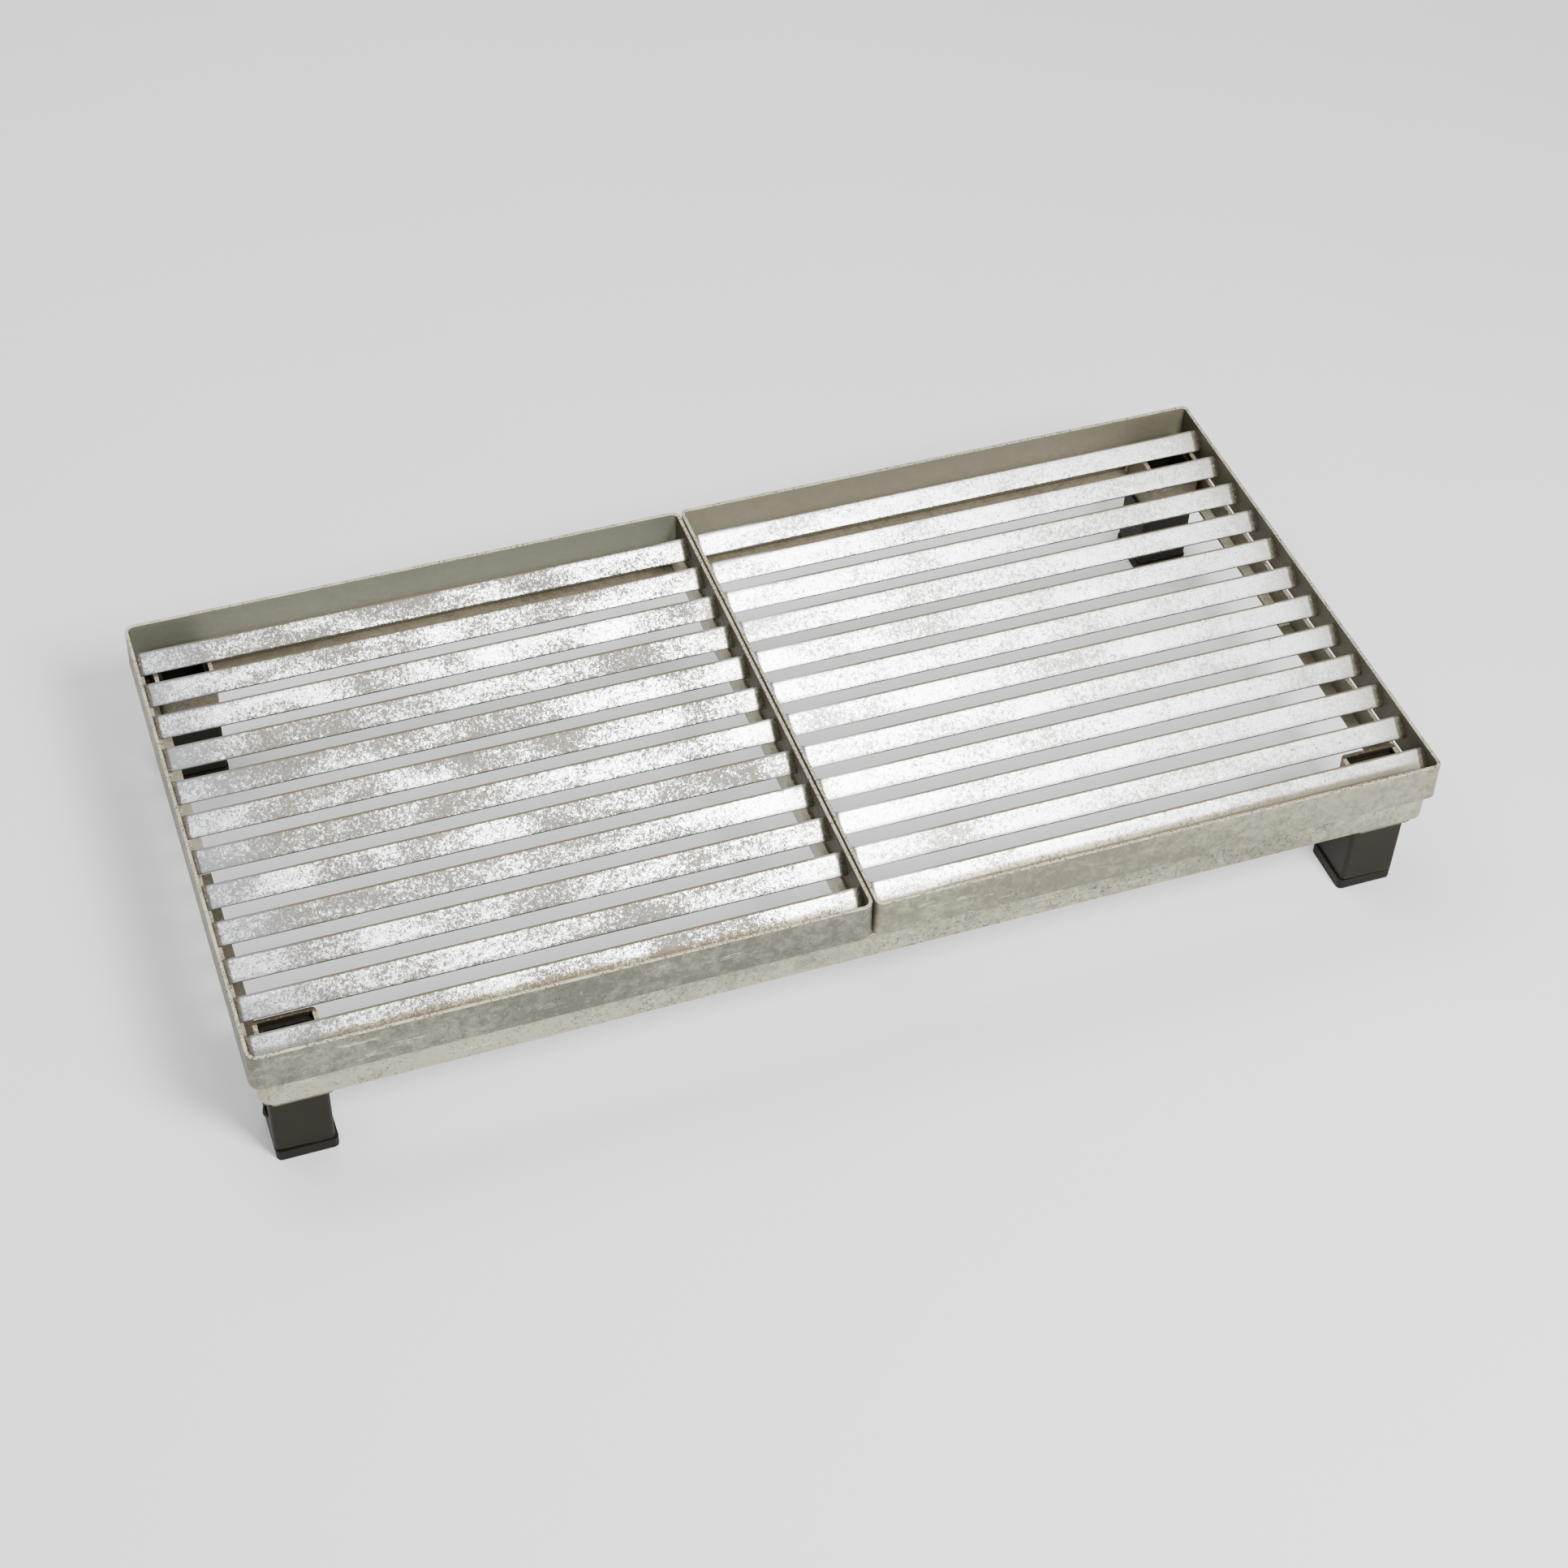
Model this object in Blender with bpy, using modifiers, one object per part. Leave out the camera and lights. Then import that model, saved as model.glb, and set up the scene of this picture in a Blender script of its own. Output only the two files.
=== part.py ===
"""Low galvanised rack: two louvred square grates lying side by side on a rectangular base frame that
stands on four short legs. Each grate lifts off and each leg pulls down out of its socket.

Units are metres, +Z is up, +X runs along the long side and the open faces of the slats look towards -Y.
The origin is on the floor, under the middle of the rack.
"""

import math
from typing import NamedTuple

import bmesh
import bpy

# Driving dimensions
HEIGHT = 0.136  # floor to the top edge of the rims
GRATE_SIDE = 0.500
GRATE_GAP = 0.0016  # between the two rims
FIT_GAP = 0.0003  # between pieces that touch

RIM_HEIGHT = 0.036
RIM_WALL = 0.003
RIM_CORNER_RADIUS = {"left": 0.009, "right": 0.0065}

SLAT_COUNT = 12
SLAT_PITCH = {"left": 0.0401, "right": 0.0400}
SLAT_WIDTH = 0.020
SLAT_THICKNESS = 0.0025
SLAT_TILT = math.radians(42.6)  # of the broad face, up from the horizontal towards the back
SLAT_EDGE_BEVEL = 0.0003
FIRST_SLAT_Y = {"left": 0.0224, "right": 0.0242}  # behind the grate's front, at the middle of the bar
SLAT_DROP = 0.0144  # below the rim's top edge, at the middle of the bar

FRAME_LENGTH = 0.9936
FRAME_X = 0.0011  # the frame sits a little to the right under the grates
FRAME_DEPTH = 0.4950
FRAME_HEIGHT = 0.0257
FRAME_WALL = 0.003
FRAME_CORNER_RADIUS = 0.012
FLANGE_REACH = 0.013  # from the frame's outer face to the flange's free edge
FLANGE_THICKNESS = 0.003

CROSSBAR_X = -0.0070
CROSSBAR_THICKNESS = 0.006
CROSSBAR_DEPTH = 0.0174

SOCKET_SIDE = 0.050
SOCKET_WALL = 0.0035
SOCKET_BOTTOM = 0.068
SOCKET_CORNER_RADIUS = 0.004

LEG_SIDE = 0.048
LEG_WALL = 0.0035
LEG_CORNER_RADIUS = 0.0035
LEG_TOP_PLATE = 0.004
SPIGOT_CLEARANCE = 0.0004  # each side, inside the socket
SPIGOT_WALL = 0.003
SPIGOT_TOP = 0.1078

CAP_SIDE = 0.050
CAP_HEIGHT = 0.010
CAP_CORNER_RADIUS = 0.0045
CAP_EDGE_BEVEL = 0.0008
PLUG_HEIGHT = 0.012  # above the cap's top face
PLUG_WALL = 0.003

CORNER_STEPS = 5  # straight runs in each rounded corner
OVERCUT = 0.010  # how far a cutter runs past what it cuts

# Derived dimensions
RIM_BOTTOM = HEIGHT - RIM_HEIGHT
FRAME_TOP = RIM_BOTTOM - FIT_GAP
FRAME_BOTTOM = FRAME_TOP - FRAME_HEIGHT
GRATE_X = (GRATE_SIDE + GRATE_GAP) / 2
FRONT_SOCKET_Y = SOCKET_SIDE / 2 + FRAME_WALL + FIT_GAP - FRAME_DEPTH / 2
LEG_TOP = SOCKET_BOTTOM - FIT_GAP


class Corner(NamedTuple):
    """How one leg stands. The legs were fitted by hand, so no two corners are quite the same."""

    socket: tuple  # x and y of the socket's middle
    socket_top: float
    leg_shift: tuple  # x and y of the leg's middle from the socket's
    cap_shift: tuple  # x and y of the cap's middle from the leg's
    cut_height: float  # of the leg's sawn lower end, at its middle
    cut_tilt: tuple  # of that end about x and about y, in radians


CORNERS = {
    "front_left": Corner(
        (-0.4630, FRONT_SOCKET_Y), 0.1135, (-0.0029, 0.0), (0.0015, 0.0002), 0.01255, (0.0, 0.0560)
    ),
    "front_right": Corner(
        (0.4630, FRONT_SOCKET_Y), 0.1135, (-0.0054, 0.0), (-0.0008, 0.0008), 0.01135, (0.0150, 0.0250)
    ),
    "rear_left": Corner(
        (-0.4606, 0.2126), 0.1127, (-0.0012, -0.0056), (0.0, 0.0), 0.01120, (-0.0100, 0.0120)
    ),
    "rear_right": Corner(
        (0.4666, 0.2126), 0.1127, (-0.0044, -0.0056), (0.0, 0.0), 0.01100, (0.0120, -0.0080)
    ),
}


def clear_scene():
    for obj in list(bpy.data.objects):
        bpy.data.objects.remove(obj, do_unlink=True)


def new_collection(name, hidden=False):
    collection = bpy.data.collections.new(name)
    collection.hide_render = hidden
    bpy.context.scene.collection.children.link(collection)
    return collection


def new_material(name, colour, metallic, roughness):
    material = bpy.data.materials.new(name)
    material.use_nodes = True
    shader = material.node_tree.nodes["Principled BSDF"]
    shader.inputs["Base Color"].default_value = (*colour, 1.0)
    shader.inputs["Metallic"].default_value = metallic
    shader.inputs["Roughness"].default_value = roughness
    material.diffuse_color = (*colour, 1.0)
    return material


clear_scene()
PARTS = new_collection("louvred_floor_rack")
CUTTERS = new_collection("cutters", hidden=True)
MOTTLED_ZINC = new_material("mottled_zinc", (0.55, 0.55, 0.52), 1.0, 0.45)
BRIGHT_ZINC = new_material("bright_zinc", (0.68, 0.68, 0.66), 1.0, 0.35)
FRAME_ZINC = new_material("frame_zinc", (0.50, 0.48, 0.42), 1.0, 0.5)
DARK_PAINT = new_material("dark_paint", (0.020, 0.014, 0.011), 0.0, 0.35)
BLACK_PLASTIC = new_material("black_plastic", (0.012, 0.011, 0.010), 0.0, 0.5)


def new_empty(name, location):
    """The point that a moving body's pieces hang from, on the line that the body slides along."""
    empty = bpy.data.objects.new(name, None)
    empty.empty_display_size = 0.02
    empty.location = location
    PARTS.objects.link(empty)
    return empty


def place(name, mesh, location, material=None, parent=None, collection=PARTS):
    obj = bpy.data.objects.new(name, mesh)
    obj.location = location
    obj.parent = parent
    if material:
        mesh.materials.append(material)
    collection.objects.link(obj)
    return obj


def rounded_rectangle(width, depth, radius):
    """Corner points of a rectangle about the origin, each corner an arc of CORNER_STEPS runs."""
    points = []
    for quarter, (side_x, side_y) in enumerate([(1, 1), (-1, 1), (-1, -1), (1, -1)]):
        centre_x = side_x * (width / 2 - radius)
        centre_y = side_y * (depth / 2 - radius)
        for step in range(CORNER_STEPS + 1):
            angle = math.pi / 2 * (quarter + step / CORNER_STEPS)
            points.append((centre_x + radius * math.cos(angle), centre_y + radius * math.sin(angle)))
    return points


def prism_mesh(name, outlines, bottom, top):
    """A flat shape with the given outlines, a second one being a hole in the first, from bottom to top."""
    curve = bpy.data.curves.new(name, "CURVE")
    curve.dimensions = "2D"
    curve.fill_mode = "BOTH"
    curve.extrude = (top - bottom) / 2
    for outline in outlines:
        spline = curve.splines.new("POLY")
        spline.points.add(len(outline) - 1)
        for point, (x, y) in zip(spline.points, outline):
            point.co = (x, y, 0.0, 1.0)
        spline.use_cyclic_u = True
    source = bpy.data.objects.new(name + "_outline", curve)
    CUTTERS.objects.link(source)
    graph = bpy.context.evaluated_depsgraph_get()
    mesh = bpy.data.meshes.new_from_object(source.evaluated_get(graph))
    bpy.data.objects.remove(source, do_unlink=True)
    mesh.name = name
    shape = bmesh.new()
    shape.from_mesh(mesh)
    bmesh.ops.remove_doubles(shape, verts=shape.verts, dist=1e-5)
    bmesh.ops.translate(shape, verts=shape.verts, vec=(0.0, 0.0, (top + bottom) / 2))
    bmesh.ops.recalc_face_normals(shape, faces=shape.faces)
    shape.to_mesh(mesh)
    shape.free()
    mesh.shade_smooth()
    mesh.set_sharp_from_angle(angle=math.radians(30))
    return mesh


def ring_mesh(name, width, depth, radius, wall, bottom, top):
    """A closed band of the given wall round a rectangle with rounded corners."""
    outer = rounded_rectangle(width, depth, radius)
    inner = rounded_rectangle(width - 2 * wall, depth - 2 * wall, max(radius - wall, radius / 4))
    return prism_mesh(name, [outer, inner], bottom, top)


def box_mesh(name, width, depth, height):
    mesh = bpy.data.meshes.new(name)
    shape = bmesh.new()
    bmesh.ops.create_cube(shape, size=1.0)
    bmesh.ops.scale(shape, verts=shape.verts, vec=(width, depth, height))
    shape.to_mesh(mesh)
    shape.free()
    return mesh


def combine(obj, other, operation):
    modifier = obj.modifiers.new(operation.lower() + "_" + other.name, "BOOLEAN")
    modifier.operation = operation
    modifier.object = other
    modifier.solver = "EXACT"


def new_cutter(name, mesh, location, parent=None):
    cutter = place(name, mesh, location, parent=parent, collection=CUTTERS)
    cutter.hide_render = True
    cutter.display_type = "WIRE"
    return cutter


def bevel(obj, width, segments=1):
    modifier = obj.modifiers.new("edges", "BEVEL")
    modifier.width = width
    modifier.segments = segments
    modifier.limit_method = "ANGLE"
    modifier.angle_limit = math.radians(50)


def build_grate(side, centre_x, material):
    """A rim of flat bar with a row of tilted slats between its two side walls."""
    grate = new_empty(side + "_grate_origin", (centre_x, 0.0, RIM_BOTTOM))
    name = side + "_grate_rim"
    rim = ring_mesh(name, GRATE_SIDE, GRATE_SIDE, RIM_CORNER_RADIUS[side], RIM_WALL, 0.0, RIM_HEIGHT)
    place(name, rim, (0.0, 0.0, 0.0), material, grate)
    length = GRATE_SIDE - 2 * (RIM_WALL + FIT_GAP)
    slat = box_mesh(side + "_slat", length, SLAT_WIDTH, SLAT_THICKNESS)
    slat.materials.append(material)
    for index in range(SLAT_COUNT):
        y = FIRST_SLAT_Y[side] + index * SLAT_PITCH[side] - GRATE_SIDE / 2
        name = f"{side}_slat_{index + 1:02d}"
        bar = place(name, slat, (0.0, y, RIM_HEIGHT - SLAT_DROP), parent=grate)
        bar.rotation_euler.x = SLAT_TILT
        bevel(bar, SLAT_EDGE_BEVEL)


def build_base_frame():
    """An angle-section ring: a solid ring as wide as the flange, with its inside cut back to the wall."""
    frame_mesh = ring_mesh(
        "base_frame", FRAME_LENGTH, FRAME_DEPTH, FRAME_CORNER_RADIUS, FLANGE_REACH, FRAME_BOTTOM, FRAME_TOP
    )
    frame = place("base_frame", frame_mesh, (FRAME_X, 0.0, 0.0), FRAME_ZINC)
    inside = rounded_rectangle(
        FRAME_LENGTH - 2 * FRAME_WALL, FRAME_DEPTH - 2 * FRAME_WALL, FRAME_CORNER_RADIUS - FRAME_WALL
    )
    pocket_mesh = prism_mesh("frame_pocket", [inside], FRAME_BOTTOM + FLANGE_THICKNESS, FRAME_TOP + OVERCUT)
    combine(frame, new_cutter("frame_pocket", pocket_mesh, (FRAME_X, 0.0, 0.0)), "DIFFERENCE")
    notch_side = SOCKET_SIDE + 2 * FIT_GAP
    for name, corner in CORNERS.items():
        notch_mesh = box_mesh("notch_" + name, notch_side, notch_side, FLANGE_THICKNESS + 2 * OVERCUT)
        middle = (*corner.socket, FRAME_BOTTOM + FLANGE_THICKNESS / 2)
        combine(frame, new_cutter("notch_" + name, notch_mesh, middle), "DIFFERENCE")


def build_crossbar():
    """A flat bar on edge between the front and rear walls, level with their tops."""
    length = FRAME_DEPTH - 2 * (FRAME_WALL + FIT_GAP)
    mesh = box_mesh("centre_crossbar", CROSSBAR_THICKNESS, length, CROSSBAR_DEPTH)
    bar = place("centre_crossbar", mesh, (CROSSBAR_X, 0.0, FRAME_TOP - CROSSBAR_DEPTH / 2), FRAME_ZINC)
    bevel(bar, SLAT_EDGE_BEVEL)


def build_socket(name, corner):
    """A length of square tube, open at both ends."""
    node = "leg_socket_" + name
    mesh = ring_mesh(
        node, SOCKET_SIDE, SOCKET_SIDE, SOCKET_CORNER_RADIUS, SOCKET_WALL, SOCKET_BOTTOM, corner.socket_top
    )
    place(node, mesh, (*corner.socket, 0.0), FRAME_ZINC)


def build_leg(name, corner):
    """A square tube with a top plate, a slightly slanting lower end and a spigot that fills the socket."""
    leg_origin = new_empty("leg_origin_" + name, (*corner.socket, 0.0))
    body_place = (*corner.leg_shift, 0.0)
    outline = rounded_rectangle(LEG_SIDE, LEG_SIDE, LEG_CORNER_RADIUS)
    leg_mesh = prism_mesh("leg_" + name, [outline], CAP_HEIGHT, LEG_TOP)
    leg = place("leg_" + name, leg_mesh, body_place, DARK_PAINT, leg_origin)
    spigot_side = SOCKET_SIDE - 2 * (SOCKET_WALL + SPIGOT_CLEARANCE)
    spigot_bottom = LEG_TOP - LEG_TOP_PLATE / 2
    spigot_mesh = ring_mesh(
        "spigot_" + name, spigot_side, spigot_side, LEG_CORNER_RADIUS, SPIGOT_WALL, spigot_bottom, SPIGOT_TOP
    )
    combine(leg, new_cutter("spigot_" + name, spigot_mesh, (0.0, 0.0, 0.0), leg_origin), "UNION")
    bore_side = LEG_SIDE - 2 * LEG_WALL
    bore = rounded_rectangle(bore_side, bore_side, LEG_CORNER_RADIUS / 2)
    bore_mesh = prism_mesh("bore_" + name, [bore], CAP_HEIGHT - OVERCUT, LEG_TOP - LEG_TOP_PLATE)
    combine(leg, new_cutter("bore_" + name, bore_mesh, body_place, leg_origin), "DIFFERENCE")
    saw_mesh = box_mesh("saw_" + name, LEG_SIDE + 2 * OVERCUT, LEG_SIDE + 2 * OVERCUT, 2 * OVERCUT)
    saw = new_cutter("saw_" + name, saw_mesh, (*corner.leg_shift, corner.cut_height - OVERCUT), leg_origin)
    saw.rotation_euler = (*corner.cut_tilt, 0.0)
    combine(leg, saw, "DIFFERENCE")
    build_foot_cap(name, corner, bore_side, leg_origin)


def build_foot_cap(name, corner, bore_side, leg_origin):
    """A plastic cap under the leg, with a hollow plug that presses up into the leg's bore."""
    outline = rounded_rectangle(CAP_SIDE, CAP_SIDE, CAP_CORNER_RADIUS)
    cap_x, cap_y = (leg + cap for leg, cap in zip(corner.leg_shift, corner.cap_shift))
    mesh = prism_mesh("foot_cap_" + name, [outline], 0.0, CAP_HEIGHT)
    cap = place("foot_cap_" + name, mesh, (cap_x, cap_y, 0.0), BLACK_PLASTIC, leg_origin)
    bevel(cap, CAP_EDGE_BEVEL, 2)
    plug_side = bore_side - 2 * FIT_GAP
    plug_top = CAP_HEIGHT + PLUG_HEIGHT
    plug_mesh = ring_mesh(
        "plug_" + name, plug_side, plug_side, LEG_CORNER_RADIUS / 2, PLUG_WALL, CAP_HEIGHT / 2, plug_top
    )
    combine(cap, new_cutter("plug_" + name, plug_mesh, (*corner.leg_shift, 0.0), leg_origin), "UNION")


build_grate("left", -GRATE_X, MOTTLED_ZINC)
build_grate("right", GRATE_X, BRIGHT_ZINC)
build_base_frame()
build_crossbar()
for corner_name, corner_fit in CORNERS.items():
    build_socket(corner_name, corner_fit)
    build_leg(corner_name, corner_fit)
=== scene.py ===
"""Looks of the louvred floor rack: two weathered zinc grates on a zinc base frame with dark legs.

Everything is in metres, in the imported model's frame: +X along the long side, +Z up, the slats' open
faces towards -Y. Each custom piece stands for the CAD node of the same name and rides on its body.
The scales of noise and cells are in cycles per metre, and colours are linear.
"""

import math
from typing import NamedTuple

import bpy
from mathutils import Matrix, Vector, noise


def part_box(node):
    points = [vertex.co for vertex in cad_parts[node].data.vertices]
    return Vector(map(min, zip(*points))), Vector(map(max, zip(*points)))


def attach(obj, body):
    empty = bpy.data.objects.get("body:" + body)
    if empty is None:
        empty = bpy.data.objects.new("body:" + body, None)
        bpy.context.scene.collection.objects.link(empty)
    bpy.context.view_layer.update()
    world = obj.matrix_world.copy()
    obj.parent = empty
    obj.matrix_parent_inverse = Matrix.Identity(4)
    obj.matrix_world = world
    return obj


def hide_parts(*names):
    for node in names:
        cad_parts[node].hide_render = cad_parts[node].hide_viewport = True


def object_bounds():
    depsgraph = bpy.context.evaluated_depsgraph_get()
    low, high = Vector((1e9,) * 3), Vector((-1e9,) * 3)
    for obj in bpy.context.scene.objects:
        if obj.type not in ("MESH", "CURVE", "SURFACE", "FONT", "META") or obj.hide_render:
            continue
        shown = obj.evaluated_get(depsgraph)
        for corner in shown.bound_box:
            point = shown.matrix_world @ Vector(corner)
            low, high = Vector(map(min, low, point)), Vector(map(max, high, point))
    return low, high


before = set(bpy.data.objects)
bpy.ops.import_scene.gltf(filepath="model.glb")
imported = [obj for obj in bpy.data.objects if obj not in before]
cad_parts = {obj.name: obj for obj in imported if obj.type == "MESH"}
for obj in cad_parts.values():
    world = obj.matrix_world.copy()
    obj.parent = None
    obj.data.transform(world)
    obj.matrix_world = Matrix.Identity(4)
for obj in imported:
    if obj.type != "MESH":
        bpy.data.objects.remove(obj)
cad_low, cad_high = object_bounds()

MM = 0.001
CORNERS = ("front_left", "front_right", "rear_left", "rear_right")

# Camera
CAMERA_PLACE = (-0.6156, -1.6189, 1.8071)
CAMERA_AZIMUTH = math.radians(19.88)
CAMERA_ELEVATION = math.radians(46.03)
CAMERA_ROLL = math.radians(-1.388)
CAMERA_LENS_MM = 65.67
CAMERA_SHIFT = (0.0314, 0.0078)

# Floor and light
FLOOR_HALF_SIDE = 12.0
FLOOR_TONES = (0.86, 0.86, 0.86), (0.90, 0.90, 0.90)
WORLD_COLOUR = (0.97, 0.985, 1.0, 1.0)
WORLD_STRENGTH = 0.62
KEY_POWER = 150.0
KEY_COLOUR = (1.0, 0.99, 0.975)
TOP_POWER = 62.0

# Slats
SLATS_PER_GRATE = 12
SLAT_TILT = math.radians(42.6)
SLAT_WIDTH = 20.0 * MM
SLAT_THICKNESS = 2.5 * MM
SLAT_EDGE_RADIUS = 0.75 * MM
SLAT_END_REACH = 0.7 * MM  # past the CAD bar, into the weld
SLAT_STATIONS = 60
SLAT_WOBBLE = 0.22 * MM
SLAT_TWIST = math.radians(0.7)
SLAT_NICK = 0.04 * MM
SLAT_UP = Vector((0.0, math.cos(SLAT_TILT), math.sin(SLAT_TILT)))
SLAT_OUT = Vector((0.0, -math.sin(SLAT_TILT), math.cos(SLAT_TILT)))

# Rims
RIM_CORNER_RADIUS = {"left": 9.0 * MM, "right": 6.5 * MM}
RIM_CORNER_STEPS = 8
RIM_WALL = 3.0 * MM
RIM_FLARE = 1.0 * MM  # outwards, at the bottom edge
RIM_WOBBLE = 0.25 * MM
RIM_NICK = 0.05 * MM
RIM_EDGE_RADIUS = 0.7 * MM
RIM_STEP = 8.0 * MM

# Welds and drips
BEAD_SIDES = 8
FILLET_REACH = 3.4 * MM
FILLET_SINK = 0.25 * MM  # into the slat's face
SLAT_BEAD_RADIUS = 1.5 * MM
SOCKET_BEAD_RADIUS = 2.2 * MM
CROSSBAR_BEAD_RADIUS = 1.6 * MM
SEAM_RADIUS = 2.0 * MM
SEAM_RIPPLE = 6.6 * MM
DRIP_RADIUS = 5.0 * MM
DRIP_HEIGHT = 43.0 * MM


# ---------------------------------------------------------------- shader helpers

class Shader:
    """A material's node tree with short calls to add nodes to it."""

    def __init__(self, name):
        self.material = bpy.data.materials.new(name)
        self.material.use_nodes = True
        self.tree = self.material.node_tree
        self.tree.nodes.clear()
        output = self.tree.nodes.new("ShaderNodeOutputMaterial")
        self.bsdf = self.tree.nodes.new("ShaderNodeBsdfPrincipled")
        self.tree.links.new(self.bsdf.outputs[0], output.inputs[0])
        self.coords = self.tree.nodes.new("ShaderNodeTexCoord").outputs["Object"]

    def set(self, node, key, value):
        """Links value, if it is a socket, or stores it. A colour of three numbers becomes opaque."""
        socket = node.inputs[key]
        if isinstance(value, bpy.types.NodeSocket):
            self.tree.links.new(value, socket)
        elif hasattr(value, "__len__") and len(value) == 3 and len(socket.default_value) == 4:
            socket.default_value = (*value, 1.0)
        else:
            socket.default_value = value

    def node(self, kind, inputs=None, **settings):
        node = self.tree.nodes.new("ShaderNode" + kind)
        for key, value in settings.items():
            setattr(node, key, value)
        for key, value in (inputs or {}).items():
            self.set(node, key, value)
        return node

    def math(self, operation, a, b):
        return self.node("Math", {0: a, 1: b}, operation=operation).outputs[0]

    def add(self, a, b):
        return self.math("ADD", a, b)

    def subtract(self, a, b):
        return self.math("SUBTRACT", a, b)

    def times(self, a, b):
        return self.math("MULTIPLY", a, b)

    def mapped(self, scale=(1.0, 1.0, 1.0), offset=(0.0, 0.0, 0.0)):
        return self.node("Mapping", {"Vector": self.coords, "Scale": scale, "Location": offset}).outputs[0]

    def noise(self, scale, detail, rough, vector=None, distortion=0.0):
        inputs = {
            "Vector": vector or self.coords,
            "Scale": scale,
            "Detail": detail,
            "Roughness": rough,
            "Distortion": distortion,
        }
        return self.node("TexNoise", inputs).outputs["Fac"]

    def cells(self, scale, vector, channel):
        """Random cells: how far their middles are, and one channel of their random colours."""
        cells = self.node("TexVoronoi", {"Vector": vector, "Scale": scale})
        pick = self.node("SeparateColor", {0: cells.outputs["Color"]}).outputs[channel]
        return cells.outputs["Distance"], pick

    def specks(self, scale, vector, channel, share, radius):
        """Round specks in a share of the cells. The largest has this radius, in cells."""
        distance, pick = self.cells(scale, vector, channel)
        return self.math("LESS_THAN", distance, self.ramp(pick, 1.0 - share, 1.0, 0.0, radius))

    def ramp(self, value, low, high, start=0.0, end=1.0):
        """value taken from low..high to start..end with a smooth step."""
        inputs = {"Value": value, "From Min": low, "From Max": high, "To Min": start, "To Max": end}
        return self.node("MapRange", inputs, interpolation_type="SMOOTHSTEP").outputs[0]

    def mix(self, share, a, b):
        """Colours a and b mixed by share."""
        return self.node("Mix", {0: share, 6: a, 7: b}, data_type="RGBA").outputs[2]

    def blend(self, share, a, b):
        """Numbers a and b mixed by share."""
        return self.node("Mix", {0: share, 2: a, 3: b}, data_type="FLOAT").outputs[0]

    def stain(self, colour, mask, strength, tint):
        """colour with tint over it where mask is 1, as strong as strength."""
        return self.mix(self.times(mask, strength), colour, tint)

    def axis(self, name):
        return self.node("SeparateXYZ", {0: self.coords}).outputs[name]

    def attribute(self, name):
        return self.node("Attribute", attribute_name=name).outputs["Fac"]

    def normal(self):
        """The surface's direction in the piece's own axes, which are the model's."""
        return self.node("TexCoord").outputs["Normal"]

    def facing(self, x, y):
        """How much the surface faces along (x, y, 0), from 0 to 1."""
        inputs = {0: self.normal(), 1: (x, y, 0.0)}
        along = self.node("VectorMath", inputs, operation="DOT_PRODUCT").outputs["Value"]
        return self.ramp(along, 0.35, 0.75)

    def bump(self, height, distance, strength, normal=None):
        inputs = {"Height": height, "Distance": distance, "Strength": strength}
        if normal:
            inputs["Normal"] = normal
        return self.node("Bump", inputs).outputs[0]

    def finish(self, **values):
        for key, value in values.items():
            self.set(self.bsdf, key.replace("_", " "), value)
        return self.material


def scaled(colour, factor):
    return [min(1.0, v * factor) for v in colour]


# ---------------------------------------------------------------- slat finish

class SlatLook(NamedTuple):
    seed: float
    bright: tuple
    darkest_flake: float  # as a share of bright
    dull: tuple
    dull_share: float
    pit_share: float
    patchiness: float
    # colours of painted shade towards the bar's left and right ends
    left_end_shade: tuple
    right_end_shade: tuple
    grain_depth: float
    cleaner_end: float  # how much fewer dull patches there are near the right end


def slat_patches(s, look, place, along, fine):
    """Where the bar is dull, from 0 to 1."""
    cloud = s.noise(11.0, 3.0, 0.6, along)
    patch = s.noise(330.0, 6.0, 0.78, place, 0.7)
    level = s.add(s.times(patch, 0.6), s.times(fine, 0.4))
    level = s.add(level, s.times(s.subtract(cloud, 0.5), look.patchiness))
    cleaner = s.times(s.ramp(s.attribute("right_end"), 0.130, 0.020), look.cleaner_end)
    level = s.subtract(level, cleaner)
    threshold = 0.5 + (0.5 - look.dull_share) * 0.34
    return s.ramp(level, threshold - 0.012, threshold + 0.016)


def slat_metal(s, look, place, dulled, fine):
    """The colour of the bar away from its edges and ends."""
    _, flake_tone = s.cells(1300.0, place, 0)
    metal = s.mix(s.ramp(flake_tone, 0.05, 0.95), scaled(look.bright, look.darkest_flake), look.bright)
    soft_dull = s.mix(s.ramp(fine, 0.35, 0.65), scaled(look.dull, 0.55), scaled(look.dull, 1.4))
    colour = s.mix(dulled, metal, soft_dull)
    grime = s.ramp(s.noise(150.0, 6.0, 0.75, place, 0.8), 0.60, 0.68)
    grime = s.times(grime, s.ramp(s.noise(13.0, 2.0, 0.5, place), 0.47, 0.60))
    colour = s.stain(colour, grime, 0.6 * look.dull_share, (0.20, 0.19, 0.16))
    pits = s.specks(420.0, place, 1, look.pit_share, 0.40)
    return s.stain(colour, pits, 0.8, (0.10, 0.09, 0.075))


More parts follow.
